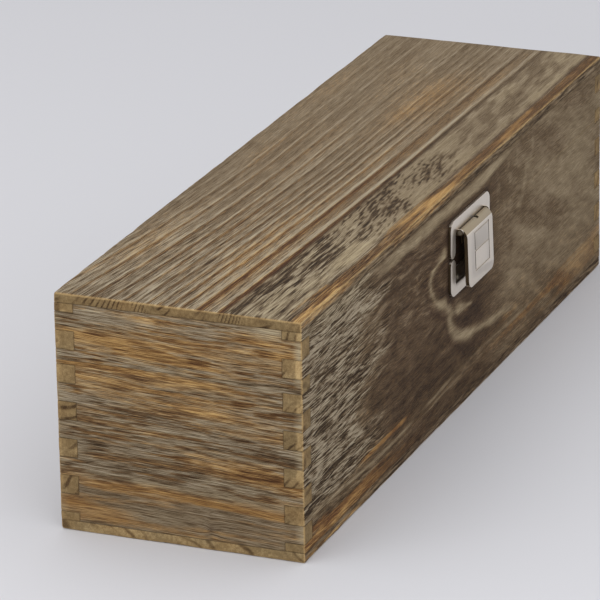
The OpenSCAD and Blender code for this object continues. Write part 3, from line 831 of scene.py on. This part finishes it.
# Colours from the grooves to the ridges: plain, golden, pale, dark and worn wood, and end grain
NEUTRAL = ramp_stops(
    (0.0, (49, 35, 18)), (0.35, (98, 80, 57)), (0.65, (137, 121, 98)), (1.0, (171, 159, 136)),
)
HONEY = ramp_stops((0.0, (82, 50, 27)), (0.35, (122, 86, 49)), (0.7, (164, 127, 76)), (1.0, (200, 164, 107)))
PALE = ramp_stops((0.0, (96, 81, 60)), (0.45, (138, 122, 96)), (1.0, (180, 165, 134)))
DARK = ramp_stops((0.0, (40, 26, 14)), (0.5, (76, 57, 40)), (1.0, (122, 102, 79)))
WORN = ramp_stops((0.0, (140, 110, 70)), (1.0, (212, 182, 130)))
CUT = ramp_stops((0.0, (64, 49, 31)), (0.4, (108, 90, 62)), (0.75, (134, 115, 83)), (1.0, (166, 146, 110)))
CUT_BROWN = ramp_stops((0.0, (64, 47, 29)), (1.0, (150, 126, 84)))
PLANED_WOOD = ramp_stops((0.3, (92, 72, 50)), (0.52, (134, 110, 81)), (0.72, (168, 146, 114)))
TINT = ramp_stops((0.3, (236, 233, 229)), (0.7, (255, 255, 255)))
# Floor paper with painted light: brighter near the box's near end, darker far from it
PAPER_PAINTED_LIGHT = ramp_stops((0.15, (218, 218, 222)), (1.0, (202, 202, 206)))
BETWEEN_BOARDS = tone(52, 40, 28)


def long_wood():
    """Brushed face: colours follow the ridges and zones of the mesh, and finer fibres run between."""
    n = Nodes("brushed_wood")
    ridge, joint, worn, brushed = n.attribute("grain")
    pale, warm, dark = n.attribute("zone")[:3]
    strands = n.noise((0.085, 0.9, 1), 4.0, 0.65, flow=True)
    shreds = n.noise((0.25, 1.4, 1), 2.0, 0.6, flow=True)
    veins = n.noise((0.035, 0.55, 1), 2.0, 0.5, flow=True)
    cloud = n.noise((0.02, 0.12, 1), 3.0, 0.5, flow=True)
    crisp = n.math("MULTIPLY_ADD", strands, 7.0, -2.8, clamp=True)
    grooved = n.math("MULTIPLY_ADD", crisp, 0.84, -0.56)
    rough = n.math("MULTIPLY_ADD", shreds, 0.5, -0.25)
    fine = n.math("ADD", n.math("MULTIPLY", grooved, brushed), n.math("MULTIPLY_ADD", strands, 0.5, -0.25))
    value = n.math("ADD", n.math("ADD", ridge, fine), rough)
    # Thin dark veins run where the noise crosses its middle
    aside = n.math("ABSOLUTE", n.math("SUBTRACT", veins, 0.5))
    vein = n.math("MULTIPLY_ADD", aside, -7.0, n.math("MULTIPLY_ADD", shreds, 1.2, 0.35), clamp=True)
    depth = n.math("MULTIPLY_ADD", brushed, 0.52, 0.05)
    value = n.math("ADD", value, n.math("MULTIPLY", n.math("SUBTRACT", 0.38, vein), depth), clamp=True)
    colour = n.ramp(value, NEUTRAL)
    torn = n.math("MULTIPLY_ADD", shreds, 1.5, n.math("MULTIPLY_ADD", strands, 0.9, -1.2))
    ragged = n.math("ADD", warm, torn)
    gold = n.math("MULTIPLY_ADD", ragged, 1.5, -0.42, clamp=True)
    colour = n.mix(gold, colour, n.ramp(value, HONEY))
    colour = n.mix(pale, colour, n.ramp(value, PALE))
    shaded = n.math("MULTIPLY_ADD", n.math("MULTIPLY", torn, dark), -0.8, dark, clamp=True)
    colour = n.mix(shaded, colour, n.ramp(value, DARK))
    rubbed = n.math("MULTIPLY", worn, n.math("MULTIPLY_ADD", shreds, 3.0, -0.7, clamp=True))
    colour = n.mix(n.math("MULTIPLY", rubbed, 0.9), colour, n.ramp(value, WORN))
    colour = n.mix(1.0, colour, n.ramp(cloud, TINT), "MULTIPLY")
    colour = n.mix(n.math("MULTIPLY", joint, 0.4), colour, BETWEEN_BOARDS)
    n.matt(colour, 0.8, 0.15)
    n.bump(value, 0.6, 0.4 * MM)
    return n.material


def cut_wood():
    """End grain: olive, porous and matt."""
    n = Nodes("end_grain")
    ridge, joint, worn, _ = n.attribute("grain")
    pale, warm, dark = n.attribute("zone")[:3]
    pores = n.noise((1.9, 1.9, 1), 3.0, 0.65, flow=True)
    cloud = n.noise((0.16, 0.16, 1), 2.0, 0.5, flow=True)
    value = n.math("MULTIPLY_ADD", n.math("SUBTRACT", pores, 0.5), 0.9, ridge, clamp=True)
    colour = n.ramp(value, CUT)
    colour = n.mix(n.math("MULTIPLY", cloud, 0.5), colour, n.ramp(value, CUT_BROWN))
    colour = n.mix(warm, colour, n.ramp(value, HONEY))
    colour = n.mix(dark, colour, n.ramp(value, DARK))
    colour = n.mix(n.math("MAXIMUM", n.math("MULTIPLY", worn, 0.6), pale), colour, n.ramp(value, WORN))
    colour = n.mix(n.math("MULTIPLY", joint, 0.35), colour, BETWEEN_BOARDS)
    n.matt(colour, 0.85, 0.15)
    n.bump(value, 0.5, 0.3 * MM)
    return n.material


def inner_wood(name, axis):
    """Planed inside and sawn edges: the same wood, stained but not brushed."""
    n = Nodes(name)
    fine = n.noise(grain_scale(axis, 70, 1500), 4.0, 0.6)
    rings = n.noise(grain_scale(axis, 7, 170), 2.0, 0.5, 0.4)
    value = n.math("ADD", n.math("MULTIPLY", fine, 0.55), n.math("MULTIPLY", rings, 0.55), clamp=True)
    n.matt(n.ramp(value, PLANED_WOOD), 0.8, 0.3)
    n.bump(value, 0.35, 0.3 * MM)
    return n.material


# Share of a metal's own brightness that its clouds have
CLOUDED = 0.94


def metal(name, colour, rough, scale):
    """Plated sheet: satin, with faint clouds and rubbing marks."""
    n = Nodes(name)
    cloud = n.noise((scale, scale, scale), 3.0, 0.6)
    marks = n.noise((scale * 12, scale * 3, scale * 12), 2.0, 0.7)
    dull = tone(*(int(c * CLOUDED) for c in colour))
    n.put(n.shader.inputs["Base Color"], n.mix(cloud, dull, tone(*colour)))
    n.shader.inputs["Metallic"].default_value = 1.0
    spread = n.math("ADD", n.math("MULTIPLY", cloud, 0.12), n.math("MULTIPLY", marks, 0.08))
    n.put(n.shader.inputs["Roughness"], n.math("ADD", spread, rough))
    n.bump(marks, 0.08, 0.1 * MM)
    return n.material


# Rounding of the pressed latch pieces' edges and the least wall that gets it, in mm, and the least turn
# between two faces, in degrees
SOFT = 0.35
LEAST_WALL = 0.45
LEAST_TURN = 50
# Faces that turn less than this are one face, and edges that turn more than the second stay sharp
ONE_FACE, SHARP = 0.5, 38
# Vertices closer than this, in metres, are one
MERGE = 1e-7
# Fronts that lie within this of the wood are in the flap's shade, and get painted shade
SHADED = 0.75
# Material slots of a pressed piece: bright fronts, painted shade on the sides and shaded fronts, and painted
# shade on the roof of the flap
SLOT_BRIGHT, SLOT_PAINTED_SHADE, SLOT_SHADED_ROOF = 0, 1, 2


def wall_height(face, axis):
    """How far a face reaches along an axis."""
    places = [vertex.co[axis] for vertex in face.verts]
    return max(places) - min(places)


def is_pressed_edge(edge):
    """True where the front or the roof of a pressed piece turns into an outer wall."""
    if len(edge.link_faces) != 2 or not edge.is_convex:
        return False
    front, wall = sorted(edge.link_faces, key=lambda face: face.normal.y)
    if abs(front.normal.x) > 0.3:
        front, wall = wall, front
    turned = front.normal.angle(wall.normal) > math.radians(LEAST_TURN)
    is_front = front.normal.y < -0.9
    is_roof = front.normal.y < 0.1 and front.normal.z > 0.1 and abs(front.normal.x) < 0.1
    is_wall = wall.normal.y > -0.2 and wall_height(wall, 1) > LEAST_WALL * MM
    return turned and (is_front or is_roof) and is_wall


def pressed_slot(face, body):
    """Material slot of a pressed piece's face: painted shade on the flap's roof, and darker painted shade
    where it faces sideways or down, or lies in the flap's shade.
    """
    if body == "flap" and face.normal.z > 0.4:
        return SLOT_SHADED_ROOF
    sunk = face.normal.y < -0.8 and face.calc_center_median().y / MM > LOW[1] - SHADED
    sideways = abs(face.normal.x) > 0.8 or face.normal.z < -0.8
    return SLOT_PAINTED_SHADE if sideways or sunk else SLOT_BRIGHT


def pressed_piece(node, body, materials):
    """Copy of a latch piece with the soft edges of pressed sheet, in bright metal, and darker metal with
    painted shade on its sides, sunk fronts and roof.
    """
    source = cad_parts[node]
    made = bmesh.new()
    made.from_mesh(source.data)
    made.transform(source.matrix_world)
    bmesh.ops.remove_doubles(made, verts=made.verts, dist=MERGE)
    bmesh.ops.dissolve_limit(made, angle_limit=math.radians(ONE_FACE), verts=made.verts, edges=made.edges)
    made.normal_update()
    soft = [edge for edge in made.edges if is_pressed_edge(edge)]
    bmesh.ops.bevel(
        made, geom=soft, offset=SOFT * MM, offset_type="OFFSET", segments=3, profile=0.5,
        affect="EDGES", clamp_overlap=True,
    )
    made.normal_update()
    for face in made.faces:
        face.material_index = pressed_slot(face, body)
        face.smooth = True
    mesh = bpy.data.meshes.new(node + "_pressed")
    made.to_mesh(mesh)
    made.free()
    mesh.set_sharp_from_angle(angle=math.radians(SHARP))
    for material in materials:
        mesh.materials.append(material)
    add_piece(node + "_pressed", mesh, body, node)


def dress_metal():
    """The pressed latch pieces, and materials for the CAD nodes that stay."""
    nickel = metal("satin_nickel", (226, 217, 204), 0.26, 180)
    # Rougher nickel, darkened with painted shade and a painted reflection of the dark wood, for sides, faces
    # turned down and fronts in the flap's shade
    dull = metal("painted_shade_nickel", (92, 78, 60), 0.42, 180)
    # Nickel with painted shade for the flap's roof
    roof = metal("shaded_roof_nickel", (166, 152, 128), 0.34, 180)
    hinge = metal("hinge_nickel_plate", (196, 190, 180), 0.3, 160)
    steel = metal("pin_steel_bright", (176, 174, 170), 0.3, 300)
    head = metal("nail_steel", (128, 120, 106), 0.4, 300)
    for node, body in (("latch_lid_plate", "lid"), ("latch_body_plate", "box_body"), ("latch_flap", "flap")):
        pressed_piece(node, body, (nickel, dull, roof))
    kept = {
        "hinge_left_body_leaf": hinge, "hinge_left_lid_leaf": hinge,
        "hinge_right_body_leaf": hinge, "hinge_right_lid_leaf": hinge,
        "hinge_left_pin": steel, "hinge_right_pin": steel, "latch_flap_pin": head,
        "hinge_body_screws": steel, "hinge_lid_screws": steel,
        "latch_lid_nails": head, "latch_body_nails": head,
    }
    for node, material in kept.items():
        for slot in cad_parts[node].material_slots:
            slot.material = material


# ---------------------------------------------------------------- camera, floor and light

# Solved from the photograph: the camera's place, what it looks at, its roll in degrees and its lens in mm
CAMERA_AT = (-1.6276, -0.6392, 0.6817)
CAMERA_AIM = (-0.0103, 0.0172, 0.0396)
CAMERA_ROLL = -0.92
LENS, SENSOR = 274.4, 36
# Farthest thing that the camera sees, and half the floor's width, in metres
SIGHT, FLOOR_HALF = 20, 6.0
# Strength of the light from all round, where the lamps point, and each one's place, size and watts
WORLD_STRENGTH = 1.2
LAMPS_AIM = (0, 0, 0.05)
LAMPS = {
    "key": ((-1.7, 0.9, 2.0), 1.6, 10.0),
    "fill": ((-1.9, -1.0, 1.3), 1.8, 7.0),
}


def looking(at, aim):
    """Rotation of a camera or a lamp at a place towards another."""
    return (Vector(aim) - Vector(at)).to_track_quat("-Z", "Y")


def make_camera():
    data = bpy.data.cameras.new("camera")
    data.lens = LENS
    data.sensor_width = SENSOR
    data.clip_end = SIGHT
    camera = bpy.data.objects.new("camera", data)
    roll = Matrix.Rotation(math.radians(CAMERA_ROLL), 3, "Z")
    turn = looking(CAMERA_AT, CAMERA_AIM).to_matrix() @ roll
    camera.matrix_world = Matrix.Translation(CAMERA_AT) @ turn.to_4x4()
    bpy.context.scene.collection.objects.link(camera)
    bpy.context.scene.camera = camera


def make_floor():
    """Plain pale paper with painted light: a little brighter near the box's near end than far behind it."""
    half = FLOOR_HALF
    mesh = bpy.data.meshes.new("floor")
    corners = [(-half, -half, 0), (half, -half, 0), (half, half, 0), (-half, half, 0)]
    mesh.from_pydata(corners, [], [(0, 1, 2, 3)])
    n = Nodes("paper_floor_painted_light")
    place = n.node("SeparateXYZ", {"Vector": n.node("TexCoord").outputs["Object"]}).outputs["X"]
    away = n.math("MULTIPLY_ADD", place, 1.0, 0.5, clamp=True)
    n.matt(n.ramp(away, PAPER_PAINTED_LIGHT), 0.9, 0.1)
    mesh.materials.append(n.material)
    floor = bpy.data.objects.new("floor", mesh)
    bpy.context.scene.collection.objects.link(floor)


def make_light():
    """Light from all round, and two soft lamps."""
    world = bpy.data.worlds.new("studio")
    bpy.context.scene.world = world
    world.use_nodes = True
    background = world.node_tree.nodes["Background"]
    background.inputs["Color"].default_value = tone(228, 228, 229)
    background.inputs["Strength"].default_value = WORLD_STRENGTH
    for name, (at, size, watts) in LAMPS.items():
        data = bpy.data.lights.new(name, "AREA")
        data.size = size
        data.energy = watts
        light = bpy.data.objects.new(name, data)
        light.location = at
        light.rotation_euler = looking(at, LAMPS_AIM).to_euler()
        bpy.context.scene.collection.objects.link(light)


make_camera()
make_floor()
make_light()
bpy.context.scene.view_settings.view_transform = "Standard"
long_grain = long_wood()
cut = cut_wood()
along_x, along_y = (inner_wood(f"planed_wood_{letter}", axis) for axis, letter in enumerate("xy"))
make_boards([(long_grain, cut, along_x), (long_grain, cut, along_y), (long_grain, cut, along_x)])
dress_metal()
